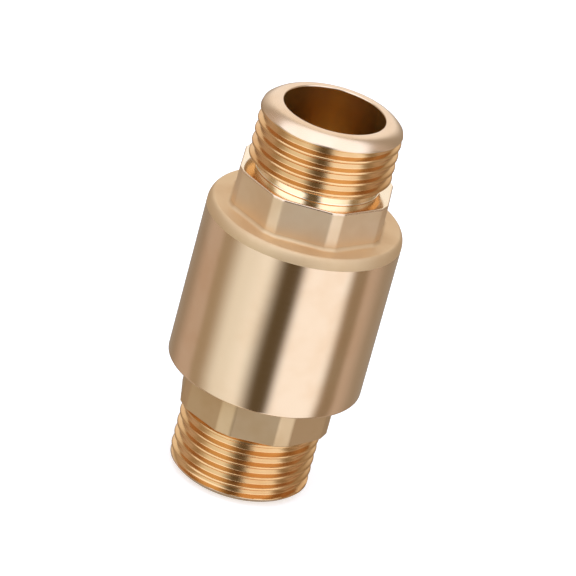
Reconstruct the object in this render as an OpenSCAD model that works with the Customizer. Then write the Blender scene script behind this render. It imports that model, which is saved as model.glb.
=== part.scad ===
// In-line spring check valve, half-inch male thread at both ends.
// Water enters at the lower end, lifts the poppet off its seat and leaves at the top.
// Millimetres. +Z is the flow direction, and Z = 0 is the face of the inlet end.

/* [Pipe ends] */
// Major diameter of both male pipe threads
thread_d = 20.955; // [20.9:0.005:21]
// Pitch of both male pipe threads
thread_pitch = 1.814; // [1.8:0.001:1.82]
// Diameter of the waterway through both ends
bore_d = 15; // [14:0.1:15.4]
// Diameter of the flat ring at the mouth of each end
end_face_d = 19; // [18.4:0.1:19.6]
// Height of the chamfer that leads each thread in
end_chamfer_h = 0.9; // [0.6:0.1:1.2]

/* [Outside] */
// Length of the inlet thread, up to its octagon
inlet_thread_h = 11; // [10:0.1:12]
// Height of the inlet octagon
inlet_octagon_h = 6.6; // [6.2:0.1:7]
// Height of the barrel, from its lower rim to its shoulder
barrel_h = 26.1; // [26:0.1:27]
// Height of the outlet octagon
outlet_octagon_h = 6; // [5:0.1:7]
// Length of the outlet end above its octagon, with its neck groove
outlet_thread_h = 10.7; // [10:0.1:12]
// Diameter of the barrel
barrel_d = 29; // [28.6:0.1:30]
// Width across the flats of both octagons
octagon_af = 22; // [21.8:0.1:22.6]
// Diameter to which each octagon's corners are turned off at its free end
octagon_turned_d = 23; // [22.2:0.1:23.6]
// Turn of the inlet octagon where the cap is screwed home
cap_turn = 5; // [0:1:45]
// How far the barrel's rounded shoulder edge reaches inwards
shoulder_edge_w = 0.9; // [0.5:0.1:1.2]
// How far the barrel's rounded shoulder edge reaches down
shoulder_edge_h = 1.6; // [1:0.1:2]
// Height of the neck groove under the outlet thread
neck_h = 1.6; // [1.2:0.1:2]
// Diameter at the bottom of the neck groove
neck_d = 18; // [17.8:0.1:19]

/* [Inside] */
// Diameter of the chamber that the poppet moves in
chamber_d = 24; // [23.6:0.1:24.4]
// Diameter of the screwed joint between the cap and the body
joint_d = 26; // [25.8:0.1:26.2]
// Height of the cap's screwed spigot inside the barrel
spigot_h = 6.4; // [6.2:0.1:6.6]
// Thickness of the barrel's shoulder over the chamber
shoulder_h = 2.7; // [2.4:0.1:3]
// Section diameter of the joint's O-ring
o_ring_section_d = 1.3; // [1.2:0.1:1.4]

/* [Poppet] */
// Diameter of the stem in its bushes
stem_d = 4; // [3.6:0.1:4.2]
// Height that the poppet lifts
lift = 5; // [4:0.1:5.2]
// Diameter of the poppet disc
disc_d = 18.8; // [18.4:0.1:19.2]
// Diameter of the soft seal under the disc
seal_d = 17.6; // [17.2:0.1:17.8]
// Thickness of the soft seal
seal_h = 1.8; // [1.6:0.1:2]
// Diameter of the spring's wire
wire_d = 0.6; // [0.5:0.05:0.7]
// Mean diameter of the spring's coils
coil_d = 9.8; // [9.6:0.1:10.2]
// Turns of the spring from end to end
coil_turns = 5; // [4:0.5:6]

/* [Guides] */
// Diameter of the hub in the middle of each guide
hub_d = 7.6; // [7:0.1:8]
// Diameter of the bush in each hub
bush_d = 6; // [5.6:0.1:6.2]
// Width of each guide's spokes
spoke_w = 1.4; // [1:0.1:1.8]
// Number of spokes in each guide
spokes = 3; // [3:1:4]

/* [Hidden] */
$fn = 96;

// Colours of the metals and soft parts
turned_brass = "#d9b48c";
satin_brass = "#c9a57c";
stainless = "#b9bcc0";
spring_steel = "#8f9499";
nitrile = "#1f1f21";
ptfe = "#ece9e2";

// Small distances
eps = 0.01;           // overlap that joins two solids of one piece
fixed_gap = 0.02;     // around a piece that is pressed or laid in place
running_gap = 0.04;   // radial, between the stem and its bushes
free_gap = 0.1;       // left between the stem's collar and its stop at full lift

// Modelled grooves of the pipe threads: narrow, so the crests stay one plain wall
groove_mouth = 0.46;
groove_depth = 0.44;

// Heights of the outside, from the inlet face up
cap_octagon_z = inlet_thread_h;
barrel_z = cap_octagon_z + inlet_octagon_h;
body_octagon_z = barrel_z + barrel_h;
neck_z = body_octagon_z + outlet_octagon_h;
top_z = neck_z + outlet_thread_h;

// Heights of the inside
spigot_top_z = barrel_z + spigot_h;
chamber_top_z = body_octagon_z - shoulder_h;
seat_z = spigot_top_z + 1;
inlet_guide_z = barrel_z - 2.2;
inlet_guide_h = 4;
inlet_hub_z = inlet_guide_z - 0.4;
outlet_guide_z = chamber_top_z - 1.4;

// Stack of the poppet, closed, from the seat up and down
disc_z = seat_z + seal_h;
disc_top_z = disc_z + 2.4;
disc_hub_top_z = disc_top_z + 1.2;
washer_z = seat_z - 1;
lock_z = washer_z - 0.9;
nut_h = 3.2;
nut_z = lock_z - nut_h;
spring_seat_z = outlet_guide_z - 0.7;
collar_top_z = spring_seat_z - lift - free_gap;
stem_bottom_z = inlet_hub_z - lift;
stem_top_z = chamber_top_z + 3;

// Diameters of the inside
guide_pocket_d = 17.6;
seat_pocket_d = 19.8;
seat_lip_d = 17;
boss_d = 7;
collar_d = 6.4;
disc_hub_d = 8.6;
circlip_groove_d = chamber_d + 1.4;
circlip_h = 1.1;
bush_flange_d = 7.2;
o_ring_groove_h = 1.7;
o_ring_z = spigot_top_z - 1.4;
octagon_corner_d = octagon_af / cos(22.5);

// A ring or tube standing on height z
module ring(outer_d, inner_d, z, h) {
  translate([0, 0, z])
    difference() {
      cylinder(d = outer_d, h = h);
      translate([0, 0, -eps]) cylinder(d = inner_d, h = h + 2 * eps);
    }
}

// A plain round bar, or the hole that it cuts, from height z up to height top
module bar(d, z, top) {
  translate([0, 0, z]) cylinder(d = d, h = top - z);
}

// Outline of a pipe end from its mouth inwards, down being -1 where the mouth faces up
function pipe_end_outline(mouth_z, down, count) = concat(
  [[end_face_d / 2, mouth_z], [thread_d / 2, mouth_z + down * end_chamfer_h]],
  [for (i = [0 : count - 1], step = [-1 : 1])
    [thread_d / 2 - (step == 0 ? groove_depth : 0),
     mouth_z + down * (end_chamfer_h + thread_pitch * (i + 0.6) + step * groove_mouth / 2)]]
);

// Points on the quarter ellipse that rounds an upper edge, from its flat top outwards and down
function rounded_edge(r, z, w, h, steps = 6) = [
  for (i = [0 : steps]) [r - w + w * sin(90 * i / steps), z - h + h * cos(90 * i / steps)]
];

// An octagonal collar whose outer corners are turned off at one end; its hole lies inside the wall it joins
module octagon(z, h, root, chamfer_up, hole_d) {
  outside_r = octagon_corner_d / 2 + 1;
  flare = (outside_r - octagon_turned_d / 2) * tan(30);
  bottom = chamfer_up ? z - root : z;
  top = chamfer_up ? z + h : z + h + root;
  difference() {
    intersection() {
      translate([0, 0, bottom]) rotate([0, 0, 22.5]) cylinder(d = octagon_corner_d, h = top - bottom, $fn = 8);
      rotate_extrude()
        polygon(chamfer_up
          ? [[0, bottom - 1], [outside_r, bottom - 1], [outside_r, top - flare], [octagon_turned_d / 2, top], [0, top]]
          : [[0, bottom], [octagon_turned_d / 2, bottom], [outside_r, bottom + flare], [outside_r, top + 1], [0, top + 1]]);
    }
    bar(hole_d, bottom - 1, top + 1);
  }
}

// One spoke, from the axis out to radius reach
module spoke(reach, z, h) {
  translate([0, -spoke_w / 2, z]) cube([reach, spoke_w, h]);
}

// A spider: rim, spokes and hub in one piece, with a hole for the bush
// Spokes taller than the rim keep that height only inside the waterway
module spider(rim_d, rim_bore_d, z, rim_h, spoke_h, hub_z, hub_h) {
  difference() {
    union() {
      ring(rim_d, rim_bore_d, z, rim_h);
      bar(hub_d, hub_z, hub_z + hub_h);
      for (i = [0 : spokes - 1])
        rotate([0, 0, 90 + i * 360 / spokes]) {
          spoke(rim_bore_d / 2 + 0.4, z, min(rim_h, spoke_h));
          if (spoke_h > rim_h) spoke(bore_d / 2 - 0.2, z, spoke_h);
        }
    }
    bar(bush_d + 2 * fixed_gap, hub_z - 1, hub_z + hub_h + 1);
  }
}

// Body: outlet thread, octagon, shoulder and barrel in one forging, bored for the poppet
module valve_body() {
  rim = 0.4;
  neck_top_z = neck_z + neck_h;
  groove_z = outlet_guide_z - circlip_h - fixed_gap;
  color(turned_brass) {
    rotate_extrude()
      polygon(concat(
        pipe_end_outline(top_z, -1, 4),
        [[thread_d / 2, neck_top_z], [neck_d / 2, neck_top_z], [neck_d / 2, body_octagon_z]],
        rounded_edge(barrel_d / 2, body_octagon_z, shoulder_edge_w, shoulder_edge_h),
        [[barrel_d / 2, barrel_z + rim], [barrel_d / 2 - rim, barrel_z], [joint_d / 2, barrel_z],
         [joint_d / 2, spigot_top_z], [chamber_d / 2, spigot_top_z], [chamber_d / 2, groove_z],
         [circlip_groove_d / 2, groove_z], [circlip_groove_d / 2, outlet_guide_z],
         [chamber_d / 2, outlet_guide_z], [chamber_d / 2, chamber_top_z],
         [bore_d / 2, chamber_top_z], [bore_d / 2, top_z]]));
    octagon(body_octagon_z, outlet_octagon_h, 0.5, true, (bore_d + neck_d) / 2);
  }
}

// Inlet cap: inlet thread, octagon and screwed spigot, with pockets for the guide and the seat
module inlet_cap() {
  spigot_r = joint_d / 2 - fixed_gap;
  groove_r = joint_d / 2 - o_ring_section_d;
  color(satin_brass) {
    rotate_extrude()
      polygon(concat(
        pipe_end_outline(0, 1, 5),
        [[thread_d / 2, barrel_z], [spigot_r, barrel_z],
         [spigot_r, o_ring_z - o_ring_groove_h / 2], [groove_r, o_ring_z - o_ring_groove_h / 2],
         [groove_r, o_ring_z + o_ring_groove_h / 2], [spigot_r, o_ring_z + o_ring_groove_h / 2],
         [spigot_r, spigot_top_z], [seat_pocket_d / 2, spigot_top_z], [seat_pocket_d / 2, spigot_top_z - 2],
         [guide_pocket_d / 2, spigot_top_z - 2], [guide_pocket_d / 2, inlet_guide_z],
         [bore_d / 2, inlet_guide_z], [bore_d / 2, 0]]));
    rotate([0, 0, cap_turn]) octagon(cap_octagon_z, inlet_octagon_h, 0.5, false, (guide_pocket_d + thread_d) / 2);
  }
}

// O-ring that seals the screwed joint
module joint_o_ring() {
  color(nitrile)
    translate([0, 0, o_ring_z])
      rotate_extrude() translate([(joint_d - o_ring_section_d) / 2, 0]) circle(d = o_ring_section_d - fixed_gap);
}

// Seat: a ring in the cap's mouth with a narrow raised lip for the seal, and a skirt that holds the guide
module seat_ring() {
  pocket_gap = 2 * fixed_gap;
  color(stainless)
    difference() {
      union() {
        bar(guide_pocket_d - pocket_gap, inlet_guide_z + inlet_guide_h, spigot_top_z - 1);
        bar(seat_pocket_d - pocket_gap, spigot_top_z - 2, spigot_top_z);
        translate([0, 0, spigot_top_z]) cylinder(d1 = seat_lip_d + 1, d2 = seat_lip_d, h = seat_z - spigot_top_z);
      }
      bar(bore_d, inlet_guide_z, seat_z + 1);
      translate([0, 0, seat_z - 0.4]) cylinder(d1 = bore_d, d2 = bore_d + 0.84, h = 0.42);
    }
}

// Lower spider, clamped under the seat ring
module inlet_guide() {
  color(satin_brass)
    spider(guide_pocket_d - 2 * fixed_gap, bore_d, inlet_guide_z, inlet_guide_h,
           inlet_guide_h - 1, inlet_hub_z, inlet_guide_h);
}

// Bush with a thrust flange at its lower or upper side of the hub
module bush(z, h, flange_z) {
  difference() {
    union() {
      bar(bush_d, z, z + h);
      bar(bush_flange_d, flange_z, flange_z + 0.6);
    }
    bar(stem_d + 2 * running_gap, z - 1, z + h + 1);
  }
}

// Lower bush of the stem
module inlet_guide_bush() {
  color(ptfe) bush(inlet_hub_z - 0.6, inlet_guide_h + 0.7, inlet_hub_z - 0.6);
}

// Upper spider, laid against the chamber's ceiling
module outlet_guide() {
  color(satin_brass)
    spider(chamber_d - 0.2, bore_d + 1, outlet_guide_z, chamber_top_z - outlet_guide_z,
           2.8, outlet_guide_z, 3.6);
}

// Upper bush of the stem
module outlet_guide_bush() {
  color(ptfe) bush(spring_seat_z, 4.3, outlet_guide_z - 0.6);
}

// Spring ring in the chamber wall that holds the upper spider
module guide_retaining_ring() {
  ring_outer_d = circlip_groove_d - 0.1;
  ring_z = outlet_guide_z - circlip_h;
  lug_turn = 16;
  color(spring_steel)
    difference() {
      union() {
        difference() {
          ring(ring_outer_d, chamber_d - 2.6, ring_z, circlip_h - fixed_gap);
          translate([0, 0, ring_z - 1])
            linear_extrude(circlip_h + 2)
              polygon([[0, 0], [20 * cos(lug_turn), 20 * sin(lug_turn)], [20 * cos(lug_turn), -20 * sin(lug_turn)]]);
        }
        for (side = [-1, 1])
          rotate([0, 0, side * (lug_turn + 6)])
            translate([chamber_d / 2 - 2.2, 0, ring_z]) cylinder(d = 3.4, h = circlip_h - fixed_gap);
      }
      for (side = [-1, 1])
        rotate([0, 0, side * (lug_turn + 6)])
          translate([chamber_d / 2 - 2.2, 0, ring_z - 1]) cylinder(d = 1.5, h = circlip_h + 2);
    }
}

// Stem: a turned rod with a collar that clamps the disc and stops at the upper bush
module stem() {
  tip = 0.5;
  color(stainless) {
    translate([0, 0, stem_bottom_z]) cylinder(d1 = stem_d - 2 * tip, d2 = stem_d, h = tip);
    bar(stem_d, stem_bottom_z + tip, stem_top_z - tip);
    translate([0, 0, stem_top_z - tip]) cylinder(d1 = stem_d, d2 = stem_d - 2 * tip, h = tip);
    bar(collar_d, disc_hub_top_z, collar_top_z);
  }
}

// Poppet disc: a boss through the seal, a rim round it, and a hub that centres the spring
module poppet_disc() {
  rim_drop = 1;
  color(turned_brass)
    difference() {
      union() {
        bar(boss_d, seat_z, disc_z + eps);
        bar(disc_d, disc_z - rim_drop, disc_top_z - 0.6);
        translate([0, 0, disc_top_z - 0.6]) cylinder(d1 = disc_d, d2 = disc_d - 1.2, h = 0.6);
        bar(disc_hub_d, disc_top_z - eps, disc_hub_top_z);
      }
      ring(seal_d + 2 * fixed_gap, boss_d, disc_z - rim_drop - 1, rim_drop + 1);
      bar(stem_d + 2 * fixed_gap, seat_z - 1, disc_hub_top_z + 1);
    }
}

// Flat soft ring that closes on the seat's lip
module seat_seal() {
  color(nitrile) ring(seal_d, boss_d + 2 * fixed_gap, seat_z, seal_h);
}

// Washer that clamps the seal to the disc
module seal_washer() {
  color(stainless) ring(12.4, stem_d + 2 * fixed_gap, washer_z, seat_z - washer_z);
}

// Split spring washer over the nut
module lock_washer() {
  color(spring_steel)
    difference() {
      ring(7.2, stem_d + 2 * fixed_gap, lock_z, washer_z - lock_z);
      translate([0, 0, (lock_z + washer_z) / 2])
        rotate([20, 0, 0]) translate([1, -0.2, -2]) cube([4, 0.4, 4]);
    }
}

// Hexagon nut with turned corners at both faces
module stem_nut() {
  af = 7;
  corner_d = af / cos(30);
  flare = (corner_d - af) / 2 * tan(30);
  color(stainless)
    difference() {
      intersection() {
        translate([0, 0, nut_z]) cylinder(d = corner_d, h = nut_h, $fn = 6);
        rotate_extrude()
          polygon([[0, nut_z], [af / 2, nut_z], [corner_d / 2, nut_z + flare],
                   [corner_d / 2, nut_z + nut_h - flare], [af / 2, nut_z + nut_h], [0, nut_z + nut_h]]);
      }
      bar(stem_d + 2 * fixed_gap, nut_z - 1, nut_z + nut_h + 1);
    }
}

// Height of the coil's centreline after a number of turns: the first and last turn lie flat
function coil_z(t, z0, z1) =
  t < 1 ? z0 + wire_d * t * 0.5 :
  t > coil_turns - 1 ? z1 - wire_d * (coil_turns - t) * 0.5 :
  z0 + wire_d / 2 + (z1 - z0 - wire_d) * (t - 1) / (coil_turns - 2);

// One ring of the wire's surface, square to the coil closely enough for its low pitch
function wire_ring(t, z0, z1, sides) = [
  for (k = [0 : sides - 1])
    let (a = 360 * t, b = 360 * k / sides, r = coil_d / 2 + wire_d / 2 * cos(b))
    [r * cos(a), r * sin(a), coil_z(t, z0, z1) + wire_d / 2 * sin(b)]
];

// Return spring, at its fitted length between the disc and the upper washer
module return_spring() {
  sides = 8;
  rings_per_turn = 20;
  last = coil_turns * rings_per_turn;
  z0 = disc_top_z + wire_d / 2 + fixed_gap;
  z1 = spring_seat_z - wire_d / 2 - fixed_gap;
  points = [for (i = [0 : last]) each wire_ring(i / rings_per_turn, z0, z1, sides)];
  walls = [
    for (i = [0 : last - 1], k = [0 : sides - 1])
      let (a = i * sides + k, b = i * sides + (k + 1) % sides)
      [a, a + sides, b + sides, b]
  ];
  start_cap = [for (k = [0 : sides - 1]) k];
  end_cap = [for (k = [sides - 1 : -1 : 0]) last * sides + k];
  color(spring_steel) polyhedron(points, concat(walls, [start_cap], [end_cap]));
}

// Washer between the spring and the upper spider's spokes
module spring_seat_washer() {
  color(stainless) ring(12.4, bush_flange_d + 2 * fixed_gap, spring_seat_z, outlet_guide_z - spring_seat_z);
}

valve_body();
inlet_cap();
joint_o_ring();
seat_ring();
inlet_guide();
inlet_guide_bush();
outlet_guide();
outlet_guide_bush();
guide_retaining_ring();
stem();
poppet_disc();
seat_seal();
seal_washer();
lock_washer();
stem_nut();
return_spring();
spring_seat_washer();
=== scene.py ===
"""Looks of an in-line spring check valve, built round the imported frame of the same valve.

The brass body and inlet cap are lofted with rounded edges and get helical pipe threads, a little shallower than
real ones. The seat, guides, poppet and spring inside are remade too, because the open ends give a view of them.
Sizes are in millimetres until a mesh is made, and heights are taken from the frame.
"""

from __future__ import annotations

import logging
import math
from collections.abc import Sequence
from dataclasses import dataclass, field
from enum import Enum

import bpy
from mathutils import Matrix, Vector

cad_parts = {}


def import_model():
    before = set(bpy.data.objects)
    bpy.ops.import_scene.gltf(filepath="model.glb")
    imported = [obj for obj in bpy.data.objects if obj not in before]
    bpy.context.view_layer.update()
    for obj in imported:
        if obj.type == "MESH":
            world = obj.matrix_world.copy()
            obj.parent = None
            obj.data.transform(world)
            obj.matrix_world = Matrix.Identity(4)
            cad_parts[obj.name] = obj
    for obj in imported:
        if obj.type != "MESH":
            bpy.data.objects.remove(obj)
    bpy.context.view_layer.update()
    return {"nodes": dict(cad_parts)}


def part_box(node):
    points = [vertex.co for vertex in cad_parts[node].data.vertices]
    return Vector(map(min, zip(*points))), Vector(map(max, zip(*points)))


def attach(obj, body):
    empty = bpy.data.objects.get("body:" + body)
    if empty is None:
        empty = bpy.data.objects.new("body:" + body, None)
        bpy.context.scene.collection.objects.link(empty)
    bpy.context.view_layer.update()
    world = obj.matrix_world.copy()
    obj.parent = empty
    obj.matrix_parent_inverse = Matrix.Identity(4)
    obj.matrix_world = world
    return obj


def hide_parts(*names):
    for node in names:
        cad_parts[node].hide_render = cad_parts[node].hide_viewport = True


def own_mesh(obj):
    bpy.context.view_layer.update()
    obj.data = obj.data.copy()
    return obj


log = logging.getLogger("check_valve")

MM = 0.001

Point = tuple[float, float]


class Body(Enum):
    """The two rigid bodies of the valve."""

    CASING = "casing"
    POPPET = "poppet"


class Slot(Enum):
    """Names of the material slots."""

    TURNED_BRASS = "turned_brass"
    SATIN_BRASS = "satin_brass"
    STAINLESS = "stainless_steel"
    SPRING = "spring_steel"
    RUBBER = "nitrile_rubber"
    PTFE = "ptfe"


class Lay(Enum):
    """The direction in which a tool left its marks."""

    TURNED = "turned"
    EVEN = "even"


# ---------------------------------------------------------------------------------------------------- finishes


def linear(hex_colour: str) -> tuple[float, float, float, float]:
    """Turns an sRGB hex colour into linear RGBA.

    Args:
        hex_colour: six hex digits, with or without a leading hash.

    Returns:
        The colour as linear red, green, blue and an alpha of 1.
    """
    digits = hex_colour.lstrip("#")
    channels = [int(digits[i : i + 2], 16) / 255 for i in (0, 2, 4)]
    red, green, blue = (c / 12.92 if c <= 0.04045 else ((c + 0.055) / 1.055) ** 2.4 for c in channels)
    return red, green, blue, 1.0


def add(tree: bpy.types.NodeTree, kind: str, inputs: dict | None = None, **settings) -> bpy.types.Node:
    """Adds a node with its settings, values and links.

    Args:
        tree: the node tree that gets the node.
        kind: the node's type name.
        inputs: socket name or index to a value, or to the output socket that feeds it.
        settings: the node's own properties.

    Returns:
        The new node.
    """
    node = tree.nodes.new(kind)
    for name, value in settings.items():
        setattr(node, name, value)
    for key, value in (inputs or {}).items():
        if isinstance(value, bpy.types.NodeSocket):
            tree.links.new(value, node.inputs[key])
        else:
            node.inputs[key].default_value = value
    return node


@dataclass(frozen=True)
class Finish:
    """A surface finish: what the material is and how its surface was made.

    Attributes:
        name: the material's name, in a maker's words.
        colour: sRGB hex of the clean surface.
        stain: sRGB hex of its slightly tarnished or shaded patches.
        metallic: 1 for a bare metal, 0 otherwise.
        roughness: typical roughness, between the even patches.
        spread: how far the roughness strays from that value.
        lay: the direction of the tool marks.
        mark_mm: distance between two tool marks, or the size of one grain.
        mark_depth_mm: height of the marks, for the bump.
        patch_mm: size of the tarnished patches.
        sheen: how soft and waxy a plastic looks at its edges.
        wave_mm: length of the slow waves that hand buffing leaves.
        wave_depth_mm: height of those waves, 0 for none.
    """

    name: str
    colour: str
    stain: str
    metallic: float
    roughness: float
    spread: float
    lay: Lay
    mark_mm: float
    mark_depth_mm: float
    patch_mm: float = 9.0
    sheen: float = 0.0
    wave_mm: float = 13.0
    wave_depth_mm: float = 0.0

    def material(self) -> bpy.types.Material:
        """Builds the node material, or returns it where it already exists."""
        known = bpy.data.materials.get(self.name)
        if known:
            return known
        material = bpy.data.materials.new(self.name)
        material.use_nodes = True
        tree = material.node_tree
        tree.nodes.clear()
        place = add(tree, "ShaderNodeTexCoord").outputs["Object"]
        marks = self._turned(tree, place) if self.lay is Lay.TURNED else self._grain(tree, place)
        patches = add(
            tree,
            "ShaderNodeTexNoise",
            {"Vector": place, "Scale": 1 / (self.patch_mm * MM), "Detail": 3.0, "Roughness": 0.55},
        ).outputs["Fac"]
        stained = add(
            tree,
            "ShaderNodeMapRange",
            {"Value": patches, "From Min": 0.38, "From Max": 0.72, "To Min": 0.0, "To Max": 1.0},
            interpolation_type="SMOOTHSTEP",
        ).outputs["Result"]
        colour = add(
            tree,
            "ShaderNodeMix",
            {"Factor": stained, 6: linear(self.colour), 7: linear(self.stain)},
            data_type="RGBA",
        ).outputs[2]
        uneven = add(
            tree,
            "ShaderNodeMath",
            {0: patches, 1: add(tree, "ShaderNodeMath", {0: marks, 1: 0.6}, operation="MULTIPLY").outputs[0]},
            operation="ADD",
        ).outputs[0]
        roughness = add(
            tree,
            "ShaderNodeMapRange",
            {
                "Value": uneven,
                "From Min": 0.4,
                "From Max": 1.2,
                "To Min": max(0.02, self.roughness - self.spread),
                "To Max": self.roughness + self.spread,
            },
        ).outputs["Result"]
        waves = add(
            tree, "ShaderNodeTexNoise", {"Vector": place, "Scale": 1 / (self.wave_mm * MM), "Detail": 0.0}
        ).outputs["Fac"]
        wavy = add(
            tree, "ShaderNodeBump", {"Strength": 1.0, "Distance": self.wave_depth_mm * MM, "Height": waves}
        ).outputs["Normal"]
        bump = add(
            tree,
            "ShaderNodeBump",
            {"Strength": 1.0, "Distance": self.mark_depth_mm * MM, "Height": marks, "Normal": wavy},
        ).outputs["Normal"]
        shader = add(
            tree,
            "ShaderNodeBsdfPrincipled",
            {
                "Base Color": colour,
                "Metallic": self.metallic,
                "Roughness": roughness,
                "Normal": bump,
                "Sheen Weight": self.sheen,
            },
        )
        add(tree, "ShaderNodeOutputMaterial", {"Surface": shader.outputs["BSDF"]})
        return material

    def _turned(self, tree: bpy.types.NodeTree, place: bpy.types.NodeSocket) -> bpy.types.NodeSocket:
        """Rings left by a lathe tool: noise over radius and height only, so it is the same all the way round."""
        parts = add(tree, "ShaderNodeSeparateXYZ", {"Vector": place})
        flat = add(tree, "ShaderNodeCombineXYZ", {"X": parts.outputs["X"], "Y": parts.outputs["Y"]})
        spoke = flat.outputs["Vector"]
        radius = add(tree, "ShaderNodeVectorMath", {0: spoke}, operation="LENGTH").outputs["Value"]
        section = add(tree, "ShaderNodeCombineXYZ", {"X": radius, "Y": parts.outputs["Z"]}).outputs["Vector"]
        return add(
            tree,
            "ShaderNodeTexNoise",
            {"Vector": section, "Scale": 1 / (self.mark_mm * MM), "Detail": 2.0},
        ).outputs["Fac"]

    def _grain(self, tree: bpy.types.NodeTree, place: bpy.types.NodeSocket) -> bpy.types.NodeSocket:
        """An even grain with no direction, as blasting, forging or moulding leaves."""
        return add(
            tree,
            "ShaderNodeTexNoise",
            {"Vector": place, "Scale": 1 / (self.mark_mm * MM), "Detail": 4.0, "Roughness": 0.6},
        ).outputs["Fac"]


# Free-turned then buffed brass: long clean reflections that waver a little, with a faint ring here and there.
BUFFED_BRASS = Finish(
    "buffed_turned_brass", "#f0d2b0", "#ecc9a4", 1.0, 0.15, 0.03, Lay.TURNED, 0.5, 0.0004, wave_depth_mm=0.15
)
# Faced brass at the mouths, the rims and the disc: a soft rosy shine, from a base colour a little paler than the
# barrel's that paints the mouth chamfer's highlight whiter.
FACED_BRASS_PAINTED_HIGHLIGHT = Finish("faced_brass_painted_highlight", "#f3d8ba", "#eccdab", 1.0, 0.26, 0.05, Lay.TURNED, 0.22, 0.001)
# The plain neck behind the outlet thread and the collar face beside it: bright, and they mirror each other; their
# base colour is paler than the other brass, painted light that adds to that brightness.
PAINTED_BRIGHT_BRASS = Finish("turned_brass_painted_bright", "#fff0d6", "#fbe6c6", 1.0, 0.12, 0.02, Lay.TURNED, 0.3, 0.0004)
# Tumbled brass on the outlet's spanner flats: satin, so tones melt into each other.
SATIN_BRASS = Finish("tumbled_satin_brass", "#f2d6b2", "#e8c8a0", 1.0, 0.47, 0.05, Lay.EVEN, 0.3, 0.002)
# Forged and blasted brass on the shoulder: so even that the octagon's reflection in it is only a soft shade.
FORGED_BRASS = Finish("forged_blasted_brass", "#e8cba2", "#dfbe93", 1.0, 0.6, 0.05, Lay.EVEN, 0.3, 0.002)
# Milled brass on the inlet's spanner flats: a little shinier, so each flat takes its own tone.
MILLED_BRASS = Finish("milled_brass", "#dcbc92", "#d2af82", 1.0, 0.43, 0.05, Lay.EVEN, 0.4, 0.001)
# Thread cut with a single point tool: bright flanks, which see each other and so look golden; the base colour is
# also a deeper gold than the body's, painting in the colour of those reflections.
CUT_BRASS_PAINTED_GOLD = Finish("thread_cut_brass_painted_gold", "#ebc08a", "#ddab72", 1.0, 0.2, 0.04, Lay.TURNED, 0.25, 0.0012)
# Drilled and reamed inside of the casing: the same brass, with a lighter and more golden base colour that paints
# in the glow of its reflections in itself.
REAMED_BRASS_PAINTED_GLOW = Finish("reamed_brass_painted_glow", "#ffdc9a", "#f6c67c", 1.0, 0.22, 0.05, Lay.TURNED, 0.35, 0.003)
# Cast brass of the two spiders: grainy and duller.
CAST_BRASS = Finish("cast_brass", "#dcb98a", "#c9a273", 1.0, 0.5, 0.06, Lay.EVEN, 0.35, 0.006, 5.0)
# Turned stainless steel: grey, with fine close rings.
TURNED_STEEL = Finish("turned_stainless_steel", "#b9babb", "#aeb0b2", 1.0, 0.24, 0.05, Lay.TURNED, 0.2, 0.001)
# Drawn stainless wire and pressed strip: darker and a little oily.
DRAWN_STEEL = Finish("drawn_stainless_steel", "#9c9ea0", "#8f9193", 1.0, 0.28, 0.06, Lay.EVEN, 0.4, 0.001, 3.0)
# Moulded nitrile rubber: matt black with a dusty bloom.
NITRILE = Finish("moulded_nitrile_rubber", "#1d1d1f", "#26262a", 0.0, 0.62, 0.08, Lay.EVEN, 0.25, 0.004, 4.0, 0.1)
# Turned PTFE: waxy off-white with soft edges.
WAXY_PTFE = Finish("turned_ptfe", "#ece8df", "#e2ddd1", 0.0, 0.42, 0.06, Lay.TURNED, 0.25, 0.002, 5.0, 0.15)


# ------------------------------------------------------------------------------------------------ mesh building


@dataclass(frozen=True)
class Corner:
    """A corner of a turned outline.

    Attributes:
        r: radius in mm.
        z: height in mm.
        rounding: radius of its rounded edge in mm, 0 for none.
        finish: index of the finish on the wall that follows the corner.
    """

    r: float
    z: float
    rounding: float = 0.06
    finish: int = 0


ARC_STEPS = 4
LOOP_GAP_MM = 0.03
BORE_R = 7.5
MAJOR_R = 10.4775
TURNED_OFF_R = 11.45
CORNER_COLUMNS = (24, 6)
THREAD_RUN_IN = (2.0, 0.7)


def rounded(corners: Sequence[Corner]) -> list[tuple[float, float, int]]:
    """Rounds the corners of a closed outline.

    A point is added close to each end of every straight wall, which keeps the wall flat when it is shaded smooth.

    Args:
        corners: the outline's corners, in order round the section.

    Returns:
        Points of the rounded outline as radius, height and the finish of the wall that follows.
    """
    points: list[tuple[float, float, int]] = []
    count = len(corners)
    for i, corner in enumerate(corners):
        here = Vector((corner.r, corner.z))
        before = Vector((corners[i - 1].r, corners[i - 1].z)) - here
        after = Vector((corners[(i + 1) % count].r, corners[(i + 1) % count].z)) - here
        finish_before = corners[i - 1].finish
        half = before.angle(after) / 2
        room = 0.45 * min(before.length, after.length)
        reach = min(corner.rounding / max(math.tan(half), 1e-6), room)
        if reach < 1e-4:
            points.append((corner.r, corner.z, corner.finish))
            continue
        radius = reach * math.tan(half)
        start = here + before.normalized() * reach
        end = here + after.normalized() * reach
        middle = here + (before.normalized() + after.normalized()).normalized() * radius / math.sin(half)
        turn = math.pi - 2 * half
        sense = 1 if (start - middle).x * (end - middle).y - (start - middle).y * (end - middle).x > 0 else -1
        if before.length > 4 * LOOP_GAP_MM + 2 * reach:
            lead = start + before.normalized() * LOOP_GAP_MM
            points.append((lead.x, lead.y, finish_before))
        for step in range(ARC_STEPS + 1):
            angle = sense * turn * step / ARC_STEPS
            spoke = start - middle
            on_arc = middle + Vector(
                (
                    spoke.x * math.cos(angle) - spoke.y * math.sin(angle),
                    spoke.x * math.sin(angle) + spoke.y * math.cos(angle),
                )
            )
            points.append((on_arc.x, on_arc.y, corner.finish if step else finish_before))
        if after.length > 4 * LOOP_GAP_MM + 2 * reach:
            lead = end + after.normalized() * LOOP_GAP_MM
            points.append((lead.x, lead.y, corner.finish))
    return points


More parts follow.
